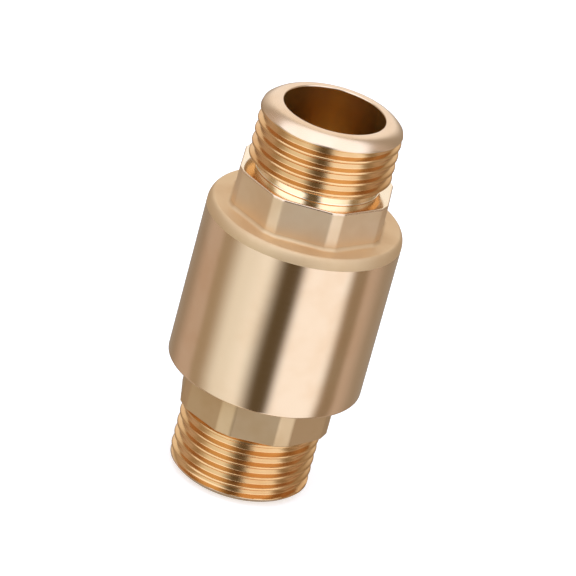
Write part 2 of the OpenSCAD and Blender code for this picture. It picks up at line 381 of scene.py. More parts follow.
@dataclass(frozen=True)
class Ring:
    """One closed loop of a loft, as a radius and a height at every angle, in mm."""

    radii: list[float]
    heights: list[float]
    finish: int = 0


def even_angles(count: int) -> list[float]:
    """Angles spaced evenly round a full circle."""
    return [2 * math.pi * i / count for i in range(count)]


def plain_rings(outline: Sequence[tuple[float, float, int]], count: int) -> list[Ring]:
    """Rings of a plain turned outline."""
    return [Ring([r] * count, [z] * count, finish) for r, z, finish in outline]


def loft(
    name: str, angles: Sequence[float], rings: Sequence[Ring], finishes: Sequence[Finish]
) -> bpy.types.Object:
    """Joins rings, first to last and round again, into a closed tube-like solid.

    A ring of zero radius becomes one point, so a solid that reaches its own axis is closed there.

    Args:
        name: the piece's name.
        angles: the angle of each column, counter-clockwise from +X.
        rings: the rings in order round the section, in mm.
        finishes: the finishes that the rings' indices name.

    Returns:
        The new object, at the origin, with its place in its mesh.
    """
    columns = len(angles)
    vertices: list[tuple[float, float, float]] = []
    rows: list[list[int]] = []
    for ring in rings:
        if max(ring.radii) < 1e-6:
            vertices.append((0.0, 0.0, ring.heights[0] * MM))
            rows.append([len(vertices) - 1] * columns)
            continue
        start = len(vertices)
        for angle, r, z in zip(angles, ring.radii, ring.heights):
            vertices.append((r * math.cos(angle) * MM, r * math.sin(angle) * MM, z * MM))
        rows.append(list(range(start, start + columns)))
    faces: list[tuple[int, ...]] = []
    marks: list[int] = []
    for j, ring in enumerate(rings):
        low = rows[j]
        high = rows[(j + 1) % len(rings)]
        if low[0] == low[-1] and high[0] == high[-1]:
            continue
        for i in range(columns):
            k = (i + 1) % columns
            corners = (low[i], low[k], high[k], high[i])
            faces.append(tuple(dict.fromkeys(corners)))
            marks.append(ring.finish)
    mesh = bpy.data.meshes.new(name)
    mesh.from_pydata(vertices, [], faces)
    for finish in finishes:
        mesh.materials.append(finish.material())
    mesh.polygons.foreach_set("material_index", marks)
    mesh.validate()
    if signed_volume(mesh) < 0:
        mesh.flip_normals()
    piece = bpy.data.objects.new(name, mesh)
    bpy.context.scene.collection.objects.link(piece)
    smooth(piece)
    return piece


def signed_volume(mesh: bpy.types.Mesh) -> float:
    """Volume that the faces enclose, negative where they point inwards."""
    mesh.calc_loop_triangles()
    total = 0.0
    for triangle in mesh.loop_triangles:
        a, b, c = (mesh.vertices[v].co for v in triangle.vertices)
        total += a.dot(b.cross(c)) / 6
    return total


def smooth(piece: bpy.types.Object, sharp_degrees: float = 50.0) -> None:
    """Shades a piece smooth, except across edges sharper than the angle given."""
    piece.data.polygons.foreach_set("use_smooth", [True] * len(piece.data.polygons))
    piece.data.set_sharp_from_angle(angle=math.radians(sharp_degrees))


def turned(
    name: str, corners: Sequence[Corner], finishes: Sequence[Finish], columns: int = 96
) -> bpy.types.Object:
    """Makes a plain turned piece from the corners of its section."""
    return loft(name, even_angles(columns), plain_rings(rounded(corners), columns), finishes)


@dataclass(frozen=True)
class Prism:
    """A regular prism with rounded corners, seen as a radius at each angle.

    Attributes:
        sides: number of flats.
        apothem: distance from the axis to a flat, in mm.
        rounding: radius of its corners, in mm.
        turn: angle of the middle of its first flat, in radians.
        bevelled: whether its corners are flat bevels and not round.
    """

    sides: int
    apothem: float
    rounding: float
    turn: float
    bevelled: bool = False

    def radius(self, angle: float, grow: float = 0.0) -> float:
        """Radius of the outline at an angle.

        Args:
            angle: the angle from +X, in radians.
            grow: how far the outline is pushed out, in mm, negative for inwards.

        Returns:
            The radius in mm.
        """
        half = math.pi / self.sides
        off = abs((angle - self.turn + half) % (2 * half) - half)
        apothem = self.apothem + grow
        rounding = max(0.02, self.rounding + grow)
        flat_end = math.atan2((apothem - rounding) * math.tan(half), apothem)
        if off <= flat_end:
            return apothem / math.cos(off)
        away = half - off
        if self.bevelled:
            return apothem / math.cos(flat_end) * math.cos(half - flat_end) / math.cos(away)
        centre = (apothem - rounding) / math.cos(half)
        return centre * math.cos(away) + math.sqrt(max(0.0, rounding**2 - (centre * math.sin(away)) ** 2))

    def angles(self, per_flat: int, per_corner: int) -> list[float]:
        """Column angles, close together round each corner and even along each flat."""
        half = math.pi / self.sides
        flat_end = math.atan2((self.apothem - self.rounding) * math.tan(half), self.apothem)
        found = []
        for side in range(self.sides):
            middle = self.turn + 2 * half * side
            found += [middle - flat_end + 2 * flat_end * i / per_flat for i in range(per_flat)]
            found += [middle + flat_end + 2 * (half - flat_end) * i / per_corner for i in range(per_corner)]
        return found

    def free_end(
        self, angles: Sequence[float], face_z: float, way: int, turned_r: float, finish: int, edge: float = 0.18
    ) -> list[Ring]:
        """Rings that run up a free end of the prism: along its walls, then over the turned edge to its face.

        Args:
            angles: the column angles.
            face_z: height of the free face, in mm.
            way: 1 where the face looks up, -1 where it looks down.
            turned_r: radius to which the corners of the face are turned off, in mm.
            finish: index of its finish.
            edge: size of the broken edge along the flats, in mm.

        Returns:
            The rings in order from the wall to the face.
        """
        slope = math.tan(math.radians(30))
        walls = [self.radius(a) for a in angles]
        drops = [edge + max(0.0, r - turned_r) * slope for r in walls]
        rings = [Ring(walls, [face_z - way * (d + 0.06) for d in drops], finish)]
        for share in (0.0, 0.12, 0.35, 0.65, 1.0):
            radii = [r + (min(r - edge, turned_r) - r) * share**1.3 for r in walls]
            heights = [face_z - way * drop * (1 - share) ** 1.6 for drop in drops]
            rings.append(Ring(radii, heights, finish))
        return rings

    def collar(
        self, angles: Sequence[float], root_z: float, free_z: float, fillet: float, turned_r: float, finish: int
    ) -> list[Ring]:
        """Rings of a spanner collar, from the hollow fillet at its root to its free face.

        Args:
            angles: the column angles.
            root_z: height of the face that it stands on, in mm.
            free_z: height of its free face, in mm.
            fillet: radius of the fillet at the root, in mm.
            turned_r: radius to which the corners of the free face are turned off, in mm.
            finish: index of its finish.

        Returns:
            The rings in order from the root to the free face.
        """
        way = 1 if free_z > root_z else -1
        rings = []
        for step in range(7):
            bend = math.pi / 2 * step / 6
            radii = [self.radius(a, fillet * (1 - math.sin(bend))) for a in angles]
            rings.append(Ring(radii, [root_z + way * fillet * (1 - math.cos(bend))] * len(angles), finish))
        walls = [self.radius(a) for a in angles]
        rings.append(Ring(walls, [root_z + way * (fillet + 0.1)] * len(angles), finish))
        return rings + self.free_end(angles, free_z, way, turned_r, finish)


# ------------------------------------------------------------------------------------------------ geometry nodes


class Tree:
    """A geometry node group under construction, with named inputs.

    Args:
        name: the group's name.
    """

    def __init__(self, name: str) -> None:
        self.group = bpy.data.node_groups.new(name, "GeometryNodeTree")
        self.group.interface.new_socket("Geometry", in_out="INPUT", socket_type="NodeSocketGeometry")
        self.group.interface.new_socket("Geometry", in_out="OUTPUT", socket_type="NodeSocketGeometry")
        self.sockets: dict[str, str] = {}
        self.entry: bpy.types.Node | None = None

    def take(self, name: str, kind: str = "NodeSocketFloat") -> None:
        """Declares a named input."""
        socket = self.group.interface.new_socket(name, in_out="INPUT", socket_type=kind)
        self.sockets[name] = socket.identifier

    def read(self, name: str) -> bpy.types.NodeSocket:
        """Output socket of a declared input, or of the geometry that comes in."""
        if self.entry is None:
            self.entry = self.group.nodes.new("NodeGroupInput")
        return self.entry.outputs[name]

    def node(self, kind: str, inputs: dict | None = None, **settings) -> bpy.types.Node:
        """Adds a node to the group."""
        return add(self.group, kind, inputs, **settings)

    def math(self, operation: str, *terms) -> bpy.types.NodeSocket:
        """Adds a sum on numbers and sockets, and returns its result."""
        node = self.node("ShaderNodeMath", dict(enumerate(terms)), operation=operation)
        return node.outputs[0]

    def end(self, geometry: bpy.types.NodeSocket, material: bpy.types.NodeSocket | None) -> None:
        """Realizes instances, sets the material where one is given, and gives out the geometry."""
        result = self.node("GeometryNodeRealizeInstances", {"Geometry": geometry}).outputs["Geometry"]
        if material is not None:
            result = self.node("GeometryNodeSetMaterial", {"Geometry": result, "Material": material}).outputs[
                "Geometry"
            ]
        self.node("NodeGroupOutput", {"Geometry": result})

    def bake(self, piece: bpy.types.Object, values: dict) -> None:
        """Runs the group on a piece and leaves the result as its plain mesh.

        Args:
            piece: the object that the group works on.
            values: input name to value.
        """
        modifier = piece.modifiers.new(self.group.name, "NODES")
        modifier.node_group = self.group
        for name, value in values.items():
            modifier[self.sockets[name]] = value
        graph = bpy.context.evaluated_depsgraph_get()
        graph.update()
        done = bpy.data.meshes.new_from_object(piece.evaluated_get(graph), depsgraph=graph)
        piece.modifiers.remove(modifier)
        old = piece.data
        piece.data = done
        done.name = piece.name
        bpy.data.meshes.remove(old)


@dataclass(frozen=True)
class PipeThread:
    """A right-hand parallel pipe thread with rounded crests and roots.

    Attributes:
        major_r: radius over the crests, in mm.
        pitch: distance between crests, in mm.
        depth: height of the thread, in mm.
        flank_degrees: angle between a flank and the plane square to the axis.
        rounding: distance over which a crest or root blends into its flanks, in mm.
        crest_share: share of the pitch that a crest takes at half its height; under half, roots are broader.
    """

    major_r: float = MAJOR_R
    pitch: float = 1.814
    depth: float = 0.8
    flank_degrees: float = 27.5
    rounding: float = 0.32
    crest_share: float = 0.34

    def cutter(self) -> Tree:
        """Builds the geometry node group that cuts this thread into a round blank."""
        tree = Tree("helical_thread_cutter")
        for name in ("Crest Radius", "Pitch", "Depth", "Flank Slope", "Rounding", "Crest Share"):
            tree.take(name)
        for name in ("Mouth", "Way", "Start"):
            tree.take(name)
        for name in ("Run-in To", "Run-in Length", "Run-out From", "Run-out Length", "Zone"):
            tree.take(name)
        place = tree.node("GeometryNodeInputPosition").outputs["Position"]
        parts = tree.node("ShaderNodeSeparateXYZ", {"Vector": place}).outputs
        squares = [tree.math("POWER", parts[axis], 2.0) for axis in ("X", "Y")]
        radius = tree.math("SQRT", tree.math("ADD", *squares))
        turns = tree.math("DIVIDE", tree.math("ARCTAN2", parts["Y"], parts["X"]), math.tau)
        steps = tree.math("DIVIDE", parts["Z"], tree.read("Pitch"))
        phase = tree.math("SUBTRACT", tree.math("ADD", steps, tree.read("Start")), turns)
        from_crest = tree.math("ABSOLUTE", tree.math("SUBTRACT", tree.math("FRACT", phase), 0.5))
        half_crest = tree.math("MULTIPLY", tree.read("Crest Share"), 0.5)
        offset = tree.math("MULTIPLY", tree.math("SUBTRACT", from_crest, half_crest), tree.read("Pitch"))
        half_depth = tree.math("MULTIPLY", tree.read("Depth"), 0.5)
        flank = tree.math("ADD", tree.math("DIVIDE", offset, tree.read("Flank Slope")), half_depth)
        rooted = tree.math("SMOOTH_MIN", flank, tree.read("Depth"), tree.read("Rounding"))
        cut = tree.math("SMOOTH_MAX", rooted, 0.0, tree.read("Rounding"))
        inwards = tree.math("MULTIPLY", tree.math("SUBTRACT", parts["Z"], tree.read("Mouth")), tree.read("Way"))
        ahead = tree.math("SUBTRACT", tree.read("Run-in To"), inwards)
        behind = tree.math("SUBTRACT", inwards, tree.read("Run-out From"))
        shy = tree.math("MAXIMUM", tree.math("DIVIDE", ahead, tree.read("Run-in Length")), 0.0)
        faded = tree.math("MAXIMUM", tree.math("DIVIDE", behind, tree.read("Run-out Length")), shy)
        rise = tree.math("MULTIPLY", tree.math("MULTIPLY", faded, faded), tree.read("Depth"))
        wall = tree.math("ADD", tree.math("SUBTRACT", tree.read("Crest Radius"), cut), rise)
        kept = tree.math("SMOOTH_MIN", radius, wall, 0.00006)
        scale = tree.math("DIVIDE", kept, tree.math("MAXIMUM", radius, 0.0001))
        outer = tree.math("GREATER_THAN", radius, tree.math("SUBTRACT", tree.read("Crest Radius"), 0.0013))
        near = tree.math("LESS_THAN", inwards, tree.read("Zone"))
        chosen = tree.math("MULTIPLY", outer, near)
        moved = tree.node(
            "ShaderNodeCombineXYZ",
            {
                "X": tree.math("MULTIPLY", parts["X"], scale),
                "Y": tree.math("MULTIPLY", parts["Y"], scale),
                "Z": parts["Z"],
            },
        ).outputs["Vector"]
        result = tree.node(
            "GeometryNodeSetPosition",
            {"Geometry": tree.read("Geometry"), "Selection": chosen, "Position": moved},
        ).outputs["Geometry"]
        tree.end(result, None)
        return tree

    def cut(
        self,
        piece: bpy.types.Object,
        mouth_z: float,
        way: int,
        start: float,
        run_in: Point,
        run_out: Point,
        zone: float,
    ) -> None:
        """Cuts the thread into a piece.

        Args:
            piece: a lofted piece with fine rings along the blank.
            mouth_z: height of the mouth that the thread starts from, in mm.
            way: 1 where the thread runs up from its mouth, -1 where it runs down.
            start: turn of the thread's first crest, in turns.
            run_in: distance from the mouth at which the thread has its full depth, and the run-in's length.
            run_out: distance from the mouth at which the thread starts to fade, and the fade's length.
            zone: how far from the mouth the blank reaches, in mm.
        """
        self.cutter().bake(
            piece,
            {
                "Crest Radius": self.major_r * MM,
                "Pitch": self.pitch * MM,
                "Depth": self.depth * MM,
                "Flank Slope": math.tan(math.radians(self.flank_degrees)),
                "Rounding": self.rounding * MM,
                "Crest Share": self.crest_share,
                "Mouth": mouth_z * MM,
                "Way": float(way),
                "Start": start,
                "Run-in To": run_in[0] * MM,
                "Run-in Length": run_in[1] * MM,
                "Run-out From": run_out[0] * MM,
                "Run-out Length": run_out[1] * MM,
                "Zone": zone * MM,
            },
        )
        smooth(piece)


# ------------------------------------------------------------------------------------------------- the castings


@dataclass(frozen=True)
class PipeEnd:
    """One threaded end of the valve, drawn from its mouth inwards.

    Attributes:
        mouth_z: height of the end face, in mm.
        way: 1 where the end runs up from its mouth, -1 where it runs down.
        bore_r: radius of the waterway.
        flat_r: outer radius of the flat part of the end face.
        dome_h: how far the rounded lead-in falls away from there to the thread.
        rows_per_pitch: mesh rows for each turn of the thread.
    """

    mouth_z: float
    way: int
    bore_r: float = BORE_R
    flat_r: float = 8.0
    dome_h: float = 1.4
    thread: PipeThread = field(default_factory=PipeThread)
    rows_per_pitch: int = 28

    def blank(self, length: float, faced_painted_highlight: int, cut: int) -> list[tuple[float, float, int]]:
        """Outline from the bore's edge over the end face and along the blank, in fine steps.

        Args:
            length: distance from the mouth to the end of the blank, in mm.
            faced_painted_highlight: index of the finish on the end face, a paler brass that paints its highlight
                whiter.
            cut: index of the finish on the thread, whose deeper gold colour paints in the flanks' reflections.

        Returns:
            Points of the outline as radius, height and finish.
        """
        bore = [(0.0, 0.2), (0.02, 0.11), (0.08, 0.04), (0.17, 0.0), (0.24, 0.0)]
        outline = [(self.bore_r + r, self.mouth_z + self.way * h, faced_painted_highlight) for r, h in bore]
        for step in range(19):
            share = step / 18
            r = self.flat_r + (self.thread.major_r - self.flat_r) * share
            outline.append((r, self.mouth_z + self.way * self.dome_h * share**2, faced_painted_highlight))
        rows = math.ceil(length / self.thread.pitch * self.rows_per_pitch)
        lead = self.dome_h + 0.04
        for row in range(rows + 1):
            h = lead + (length - lead) * row / rows
            outline.append((self.thread.major_r, self.mouth_z + self.way * h, cut))
        return outline


@dataclass
class ValveBody:
    """The brass body: outlet thread, octagon, shoulder and barrel in one piece, bored for the poppet."""

    barrel_r: float = 14.5
    octagon: Prism = field(default_factory=lambda: Prism(8, 11.0, 2.1, -math.pi / 2, True))
    octagon_h: float = 6.0
    octagon_fillet: float = 0.6
    outlet_h: float = 10.7
    neck_h: float = 1.6
    neck_r: float = 9.0
    chamber_r: float = 12.0
    joint_r: float = 13.0
    spigot_h: float = 6.4
    shoulder_h: float = 2.7
    circlip_groove_r: float = 12.7
    finishes: tuple[Finish, ...] = (
        BUFFED_BRASS,
        SATIN_BRASS,
        CUT_BRASS_PAINTED_GOLD,
        FACED_BRASS_PAINTED_HIGHLIGHT,
        REAMED_BRASS_PAINTED_GLOW,
        PAINTED_BRIGHT_BRASS,
        FORGED_BRASS,
    )

    def build(self) -> list[bpy.types.Object]:
        """Lofts the body, cuts its thread and puts it in the frame."""
        buffed, satin, cut, faced_painted_highlight, reamed_painted_glow, painted_bright, forged = range(7)
        low, high = span("valve_body")
        neck_z = high - self.outlet_h
        shoulder_z = neck_z - self.octagon_h
        angles = self.octagon.angles(*CORNER_COLUMNS)
        count = len(angles)
        end = PipeEnd(high, -1)
        blank_h = self.outlet_h - self.neck_h
        rings = plain_rings(end.blank(blank_h, faced_painted_highlight, cut), count)
        # The neck and the collar face take the paler brass, whose colour is painted light.
        rings += plain_rings(self._neck(neck_z, cut, painted_bright), count)
        octagon = self.octagon.collar(angles, shoulder_z, neck_z, self.octagon_fillet, TURNED_OFF_R, satin)
        rings += [Ring([r - 0.12 for r in octagon[-1].radii], octagon[-1].heights, painted_bright)]
        rings += [Ring(ring.radii, ring.heights, faced_painted_highlight) for ring in reversed(octagon[-5:])]
        rings += list(reversed(octagon[7:-5]))
        rings += [Ring(ring.radii, ring.heights, forged) for ring in reversed(octagon[:7])]
        rings += plain_rings(self._barrel(low, shoulder_z, buffed, forged, faced_painted_highlight), count)
        # The inside takes the lighter brass, whose colour paints in the glow of its own reflections.
        rings += plain_rings(self._inside(low, shoulder_z, high, reamed_painted_glow), count)
        piece = loft("body_shell", angles, rings, self.finishes)
        PipeThread().cut(piece, high, -1, 0.73, THREAD_RUN_IN, (blank_h + 4, 1.0), blank_h + 0.6)
        return [place(piece, "valve_body", Body.CASING, Slot.TURNED_BRASS)]

    def _neck(self, neck_z: float, cut: int, painted_bright: int) -> list[tuple[float, float, int]]:
        """Undercut neck between the thread and the octagon.

        Args:
            neck_z: height of the octagon's upper face, in mm.
            cut: index of the finish where the thread runs out.
            painted_bright: index of the finish on the neck's wall and on the face beside it, a paler brass whose
                colour is painted light.

        Returns:
            Points of the outline as radius, height and finish.
        """
        top = neck_z + self.neck_h
        fillet = 0.2
        slope = (self.neck_r - MAJOR_R) / 6
        points = [(MAJOR_R + slope * step, top - 0.08 - 0.07 * step, cut) for step in range(6)]
        points += [(self.neck_r, top - 0.5, painted_bright), (self.neck_r, top - 0.56, painted_bright)]
        points += [(self.neck_r, neck_z + fillet + 0.3 - 0.1 * step, painted_bright) for step in range(3)]
        for step in range(5):
            bend = math.pi / 2 * step / 4
            r = self.neck_r + fillet * (1 - math.cos(bend))
            points.append((r, neck_z + fillet * (1 - math.sin(bend)), painted_bright))
        points.append((self.neck_r + fillet + 0.05, neck_z, painted_bright))
        return points

    def _barrel(
        self, low: float, shoulder_z: float, buffed: int, forged: int, faced_painted_highlight: int
    ) -> list[tuple[float, float, int]]:
        """Shoulder ring, its rounded edge and the long plain wall, down to the lower rim.

        Args:
            low: height of the lower rim, in mm.
            shoulder_z: height of the shoulder ring, in mm.
            buffed: index of the wall's finish.
            forged: index of the shoulder's finish.
            faced_painted_highlight: index of the lower rim's finish, a paler brass that paints its highlight
                whiter.

        Returns:
            Points of the outline as radius, height and finish.
        """
        across, down = 0.9, 1.6
        points = [(13.2, shoulder_z, forged), (self.barrel_r - across - 0.04, shoulder_z, forged)]
        for step in range(13):
            bend = math.pi / 2 * step / 12
            points.append(
                (
                    self.barrel_r - across + across * math.sin(bend),
                    shoulder_z - down + down * math.cos(bend),
                    forged,
                )
            )
        rim = 0.3
        wall_top = shoulder_z - down - 0.08
        for step in range(11):
            points.append((self.barrel_r, wall_top + (low + rim + 0.05 - wall_top) * step / 10, buffed))
        points += [
            (self.barrel_r - 0.02, low + 0.6 * rim, buffed),
            (self.barrel_r - 0.1, low + 0.25 * rim, faced_painted_highlight),
            (self.barrel_r - 0.22, low + 0.06 * rim, faced_painted_highlight),
            (self.barrel_r - rim, low, faced_painted_highlight),
            (self.barrel_r - rim - 0.04, low, faced_painted_highlight),
        ]
        return points

    def _inside(self, low: float, shoulder_z: float, high: float, reamed_painted_glow: int) -> list[tuple[float, float, int]]:
        """Joint bore, chamber, circlip groove and waterway, from the lower rim to the mouth."""
        ceiling = shoulder_z - self.shoulder_h
        clip_top = ceiling - 1.4
        spigot_top = low + self.spigot_h
        corners = [
            Corner(self.joint_r, low, 0.12, reamed_painted_glow),
            Corner(self.joint_r, spigot_top, 0.08, reamed_painted_glow),
            Corner(self.chamber_r, spigot_top, 0.08, reamed_painted_glow),
            Corner(self.chamber_r, clip_top - 1.12, 0.05, reamed_painted_glow),
            Corner(self.circlip_groove_r, clip_top - 1.12, 0.05, reamed_painted_glow),
            Corner(self.circlip_groove_r, clip_top, 0.05, reamed_painted_glow),
            Corner(self.chamber_r, clip_top, 0.05, reamed_painted_glow),
            Corner(self.chamber_r, ceiling, 0.08, reamed_painted_glow),
            Corner(BORE_R, ceiling, 0.1, reamed_painted_glow),
            Corner(BORE_R, high - 0.3, 0.0, reamed_painted_glow),
        ]
        closing = [Corner(self.barrel_r, high, 0.0, reamed_painted_glow), Corner(self.barrel_r, low, 0.0, reamed_painted_glow)]
        outline = rounded(corners + closing)
        return [p for p in outline if p[0] < self.barrel_r - 0.4]


@dataclass
class InletCap:
    """The brass cap: inlet thread, octagon and the spigot that screws into the barrel."""

    octagon: Prism = field(default_factory=lambda: Prism(8, 11.0, 2.9, -math.pi / 2 + math.radians(5), True))
    thread_h: float = 11.0
    octagon_h: float = 6.6
    octagon_fillet: float = 0.15
    spigot_r: float = 12.98
    groove_r: float = 11.7
    groove_h: float = 1.7
    seat_pocket: Point = (9.9, 2.0)
    guide_pocket: Point = (8.8, 8.6)
    finishes: tuple[Finish, ...] = (MILLED_BRASS, CUT_BRASS_PAINTED_GOLD, FACED_BRASS_PAINTED_HIGHLIGHT, REAMED_BRASS_PAINTED_GLOW)

    def build(self) -> list[bpy.types.Object]:
        """Lofts the cap, cuts its thread and puts it in the frame."""
        milled, cut, faced_painted_highlight, reamed_painted_glow = range(4)
        low, high = span("inlet_cap")
        barrel_z = low + self.thread_h + self.octagon_h
        angles = self.octagon.angles(*CORNER_COLUMNS)
        count = len(angles)
        end = PipeEnd(low, 1)
        rings = plain_rings(end.blank(self.thread_h - 0.1, faced_painted_highlight, cut), count)
        octagon_low = low + self.thread_h
        octagon = self.octagon.collar(angles, barrel_z, octagon_low, self.octagon_fillet, TURNED_OFF_R, milled)
        rings += list(reversed(octagon))
        # The inside takes the lighter brass, whose colour paints in the glow of its own reflections.
        rings += plain_rings(self._inside(low, barrel_z, high, reamed_painted_glow), count)
        piece = loft("inlet_cap_shell", angles, rings, self.finishes)
        PipeThread().cut(
            piece, low, 1, 0.62, THREAD_RUN_IN, (self.thread_h - 1.6, 2.2), self.thread_h - 0.05
        )
        return [place(piece, "inlet_cap", Body.CASING, Slot.SATIN_BRASS)]

    def _inside(self, low: float, barrel_z: float, high: float, reamed_painted_glow: int) -> list[tuple[float, float, int]]:
        """Spigot with its O-ring groove, both pockets and the waterway, down to the mouth."""
        groove_z = high - 1.4
        corners = [
            Corner(self.spigot_r, barrel_z, 0.15, reamed_painted_glow),
            Corner(self.spigot_r, groove_z - self.groove_h / 2, 0.06, reamed_painted_glow),
            Corner(self.groove_r, groove_z - self.groove_h / 2, 0.1, reamed_painted_glow),
            Corner(self.groove_r, groove_z + self.groove_h / 2, 0.1, reamed_painted_glow),
            Corner(self.spigot_r, groove_z + self.groove_h / 2, 0.06, reamed_painted_glow),
            Corner(self.spigot_r, high, 0.12, reamed_painted_glow),
            Corner(self.seat_pocket[0], high, 0.08, reamed_painted_glow),
            Corner(self.seat_pocket[0], high - self.seat_pocket[1], 0.05, reamed_painted_glow),
            Corner(self.guide_pocket[0], high - self.seat_pocket[1], 0.05, reamed_painted_glow),
            Corner(self.guide_pocket[0], high - self.guide_pocket[1], 0.05, reamed_painted_glow),
            Corner(BORE_R, high - self.guide_pocket[1], 0.1, reamed_painted_glow),
            Corner(BORE_R, low + 0.3, 0.0, reamed_painted_glow),
        ]
        far = 40.0
        closing = [Corner(far, low, 0.0, reamed_painted_glow), Corner(far, barrel_z, 0.0, reamed_painted_glow)]
        outline = rounded(corners + closing)
        return [p for p in outline if p[0] < far - 1]


# -------------------------------------------------------------------------------------------- inside the valve


def place(piece: bpy.types.Object, node: str, body: Body, slot: Slot) -> bpy.types.Object:
    """Puts a finished piece in the frame.

    Args:
        piece: the finished piece.
        node: the frame's node that it stands for.
        body: the body that it rides on.
        slot: a material slot name; not used.

    Returns:
        The same piece.
    """
    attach(piece, body.value)
    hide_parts(node)
    return piece


def span(node: str) -> tuple[float, float]:
    """Lowest and highest height of a frame node, in mm."""
    low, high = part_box(node)
    return low.z / MM, high.z / MM


@dataclass
class Seat:
    """The steel seat in the cap's mouth and the O-ring that seals the screwed joint."""

    bore_r: float = BORE_R
    skirt_r: float = 8.78
    flange_r: float = 9.88
    lip_r: float = 8.5
    cord_r: float = 0.64
    o_ring_r: float = 12.35

    def build(self) -> list[bpy.types.Object]:
        """Turns the seat and moulds the O-ring."""
        low, top = span("seat_ring")
        steel = 0
        corners = [
            Corner(self.bore_r, low, 0.08, steel),
            Corner(self.skirt_r, low, 0.08, steel),
            Corner(self.skirt_r, top - 3.0, 0.04, steel),
            Corner(self.flange_r, top - 3.0, 0.06, steel),
            Corner(self.flange_r, top - 1.0, 0.1, steel),
            Corner(self.lip_r + 0.5, top - 1.0, 0.12, steel),
            Corner(self.lip_r, top, 0.18, steel),
            Corner(self.bore_r + 0.4, top, 0.18, steel),
            Corner(self.bore_r, top - 0.4, 0.1, steel),
        ]
        seat = turned("seat_turned", corners, (TURNED_STEEL,), 128)
        o_low, o_high = span("joint_o_ring")
        middle = (o_low + o_high) / 2
        cord = []
        for step in range(20):
            bend = math.tau * step / 20
            flash = 0.03 if step in (0, 10) else 0.0
            cord.append(
                (
                    self.o_ring_r + (self.cord_r + flash) * math.cos(bend) * 0.97,
                    middle + (self.cord_r - 0.005) * math.sin(bend),
                    0,
                )
            )
        o_ring = loft("o_ring_moulded", even_angles(128), plain_rings(cord, 128), (NITRILE,))
        return [
            place(seat, "seat_ring", Body.CASING, Slot.STAINLESS),
            place(o_ring, "joint_o_ring", Body.CASING, Slot.RUBBER),
        ]


@dataclass(frozen=True)
class Spokes:
    """Spokes that join a guide's hub to its rim.

    Attributes:
        start_r: radius inside the hub's wall at which each spoke starts.
        end_r: radius inside the rim's wall at which it ends.
        low_z: height of its lower side.
        high_z: height of its upper side.
        width: its width.
        count: number of spokes.
        first_degrees: direction of the first spoke.
    """

    start_r: float
    end_r: float
    low_z: float
    high_z: float
    width: float = 1.4
    count: int = 3
    first_degrees: float = 90.0

    @staticmethod
    def maker() -> Tree:
        """Builds the node group that sweeps a rounded spoke, repeats it round the axis and joins it on."""
        tree = Tree("cast_spokes")
        for name in ("Start Radius", "End Radius", "Middle Height", "Width", "Height", "Fillet", "First Turn"):
            tree.take(name)
        tree.take("Count", "NodeSocketInt")
        tree.take("Material", "NodeSocketMaterial")
        middle = tree.read("Middle Height")
        start = tree.node("ShaderNodeCombineXYZ", {"X": tree.read("Start Radius"), "Z": middle})
        stop = tree.node("ShaderNodeCombineXYZ", {"X": tree.read("End Radius"), "Z": middle})
        line = tree.node(
            "GeometryNodeCurvePrimitiveLine", {"Start": start.outputs["Vector"], "End": stop.outputs["Vector"]}
        ).outputs["Curve"]
        outline = tree.node(
            "GeometryNodeCurvePrimitiveQuadrilateral",
            {"Width": tree.read("Width"), "Height": tree.read("Height")},
        ).outputs["Curve"]
        soft = tree.node(
            "GeometryNodeFilletCurve", {"Curve": outline, "Radius": tree.read("Fillet"), "Count": 4}, mode="POLY"
        ).outputs["Curve"]
        spoke = tree.node(
            "GeometryNodeCurveToMesh", {"Curve": line, "Profile Curve": soft, "Fill Caps": True}
        ).outputs["Mesh"]
        places = tree.node(
            "GeometryNodeMeshLine", {"Count": tree.read("Count"), "Offset": (0.0, 0.0, 0.0)}
        ).outputs["Mesh"]
        index = tree.node("GeometryNodeInputIndex").outputs["Index"]
        step = tree.math("DIVIDE", math.tau, tree.read("Count"))
        turn = tree.math("ADD", tree.math("MULTIPLY", index, step), tree.read("First Turn"))
        rotation = tree.node("ShaderNodeCombineXYZ", {"Z": turn}).outputs["Vector"]
        all_spokes = tree.node(
            "GeometryNodeInstanceOnPoints", {"Points": places, "Instance": spoke, "Rotation": rotation}
        ).outputs["Instances"]
        real = tree.node("GeometryNodeRealizeInstances", {"Geometry": all_spokes}).outputs["Geometry"]
        joined = tree.node("GeometryNodeMeshBoolean", {}, operation="UNION", solver="EXACT")
        tree.group.links.new(tree.read("Geometry"), joined.inputs["Mesh 2"])
        tree.group.links.new(real, joined.inputs["Mesh 2"])
        tree.end(joined.outputs["Mesh"], tree.read("Material"))
        return tree

    def join(self, piece: bpy.types.Object, finish: Finish) -> None:
        """Adds the spokes to a piece that holds the hub and the rim."""
        self.maker().bake(
            piece,
            {
                "Start Radius": self.start_r * MM,
                "End Radius": self.end_r * MM,
                "Middle Height": (self.low_z + self.high_z) / 2 * MM,
                "Width": self.width * MM,
                "Height": (self.high_z - self.low_z) * MM,
                "Fillet": 0.22 * MM,
                "First Turn": math.radians(self.first_degrees),
                "Count": self.count,
                "Material": finish.material(),
            },
        )


